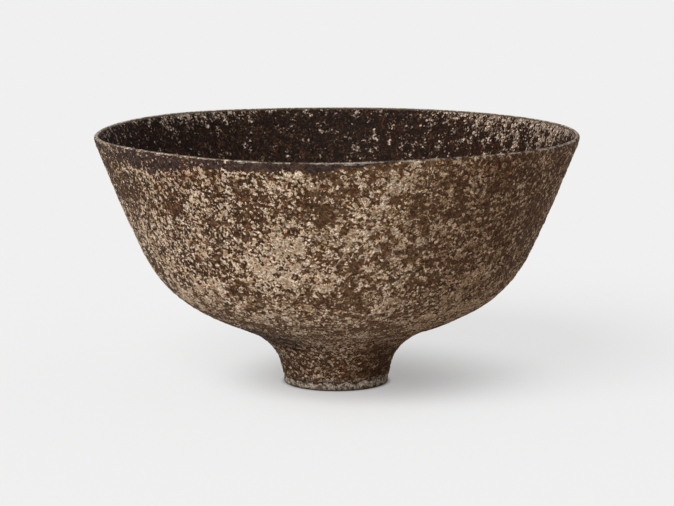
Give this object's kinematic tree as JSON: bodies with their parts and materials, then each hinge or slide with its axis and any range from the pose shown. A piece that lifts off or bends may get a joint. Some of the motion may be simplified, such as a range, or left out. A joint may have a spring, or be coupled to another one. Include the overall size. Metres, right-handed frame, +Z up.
{
  "type": "footed bowl",
  "caption": "Open round stoneware bowl with a rounded belly, straight leaning wall and thin lip, on a narrow flared ring foot; rough mottled coat outside, dark coat inside.",
  "frame": {"origin": "centre of the foot ring's resting face, on the bowl's axis", "axes": "+Z up along the bowl's axis, -Y towards the side that the picture shows"},
  "size_m": [0.2008, 0.2008, 0.105],
  "materials": {
    "stoneware": "matte",
    "slip": "matte",
    "mottled_coat": "matte",
    "dark_coat": "matte"
  },
  "bodies": {
    "root": {"foot_ring": "stoneware", "slip_joint": "slip", "bowl_body": "stoneware", "outer_coat": "mottled_coat", "inner_coat": "dark_coat"}
  },
  "joints": []
}
